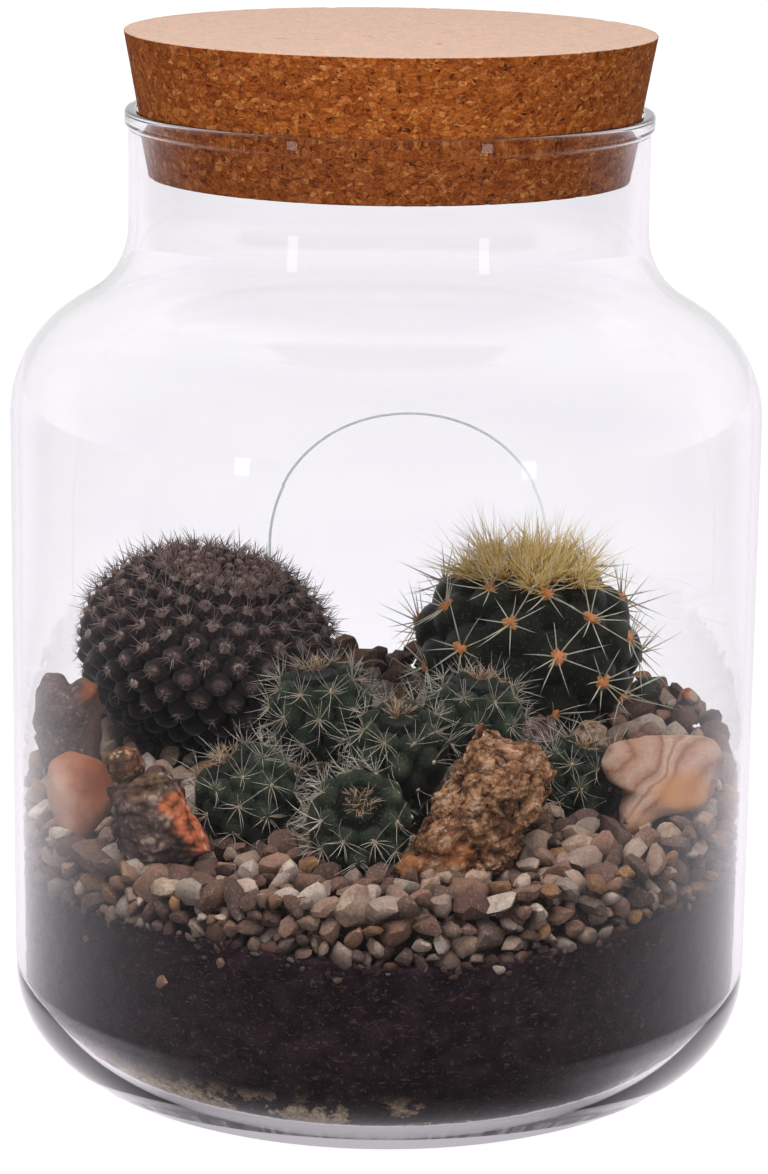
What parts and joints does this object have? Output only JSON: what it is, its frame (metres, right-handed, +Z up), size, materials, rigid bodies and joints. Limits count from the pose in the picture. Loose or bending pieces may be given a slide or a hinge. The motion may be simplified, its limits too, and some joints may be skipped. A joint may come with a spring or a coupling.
{
  "type": "glass plant terrarium",
  "caption": "Wide-necked glass jar closed by a cork, planted with globe and cluster cacti in peat soil under a bed of pebbles and rocks.",
  "frame": {"origin": "middle of the jar's flat underside, on the surface that it stands on", "axes": "+Z up through the cork, -Y towards the viewer of the picture (the low side of the pebble bed), +X to the right, towards the barrel cactus and the banded stone"},
  "size_m": [0.2, 0.2, 0.2792],
  "materials": {
    "jar_glass": "clear polished glass with a fire-rounded lip",
    "cork": "pressed cork granules, dull, with dark specks",
    "fine_gravel": "dull pale fine gravel and sand",
    "peat": "damp dark peat soil, matte",
    "pebbles": "matte river pebbles in cream, grey, brown and ochre",
    "barrel_skin": "green ribbed skin with cream and yellow spines",
    "brown_skin": "woolly grey brown tubercles",
    "cluster_skin": "dark green tubercles with whitish spines",
    "crag_rock": "rough tan sandstone with orange patches",
    "banded_stone": "salmon, pink and cream bands, dull",
    "salmon_stone": "smooth orange stone, faint sheen",
    "tall_stone": "mauve brown stone, rusty at its top",
    "brown_slab": "dark brown stone with an orange streak",
    "ochre_stone": "smooth ochre pebble",
    "mauve_rock": "rough mauve grey stone",
    "beige_rock": "rough beige stone",
    "dark_pebble": "smooth dark grey green pebble",
    "rust_tip_stone": "grey brown stone, rusty at one end",
    "filament": "thin clear filament"
  },
  "bodies": {
    "root": {"glass_jar": "jar_glass", "cork_stopper": "cork", "drainage_layer": "fine_gravel", "soil": "peat", "gravel_bed": "pebbles", "golden_barrel_cactus": "barrel_skin", "brown_globe_cactus": "brown_skin", "cluster_cactus": "cluster_skin", "filament_hoop": "filament", "crag_rock": "crag_rock", "salmon_stone": "salmon_stone", "tall_stone": "tall_stone", "brown_slab": "brown_slab", "ochre_stone": "ochre_stone", "banded_stone": "banded_stone", "mauve_rock": "mauve_rock", "beige_rock": "beige_rock", "dark_pebble": "dark_pebble", "rust_tip_stone": "rust_tip_stone"}
  },
  "joints": []
}
